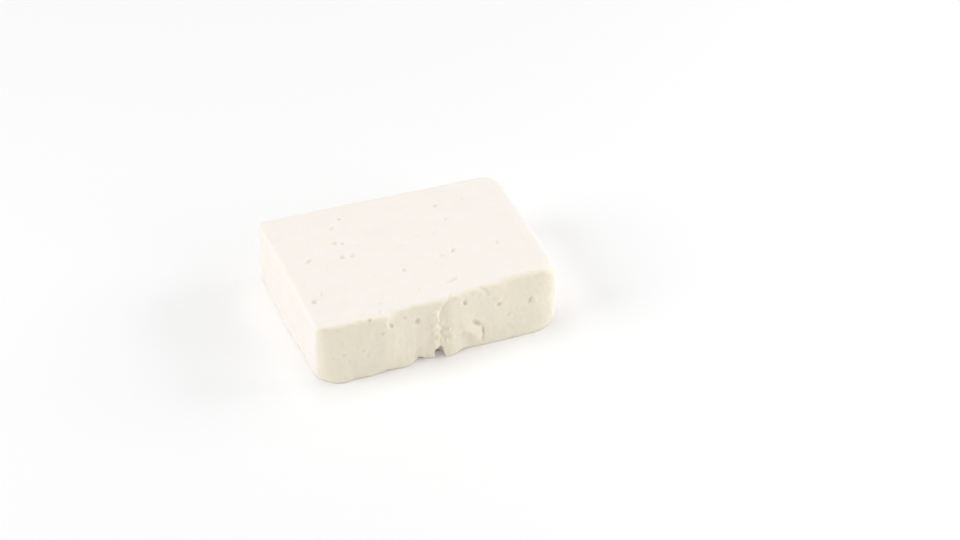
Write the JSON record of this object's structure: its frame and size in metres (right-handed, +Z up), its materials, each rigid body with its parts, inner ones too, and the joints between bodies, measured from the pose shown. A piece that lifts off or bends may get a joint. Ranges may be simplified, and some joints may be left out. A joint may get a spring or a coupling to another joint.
{
  "type": "feta cheese block",
  "caption": "Low rectangular block of white brined cheese with small pits and a rough, cracked front face; food that rests on its flat base.",
  "frame": {"origin": "middle of the block's bounding box at the height of its flat base", "axes": "+X along the rough front face, to the right as seen from the front; +Y from the front face to the back; +Z up, out of the smooth top"},
  "size_m": [0.126, 0.0982, 0.0322],
  "materials": {
    "cheese": "matt, slightly moist white cheese"
  },
  "bodies": {
    "root": {"feta_block": "cheese"}
  },
  "joints": []
}
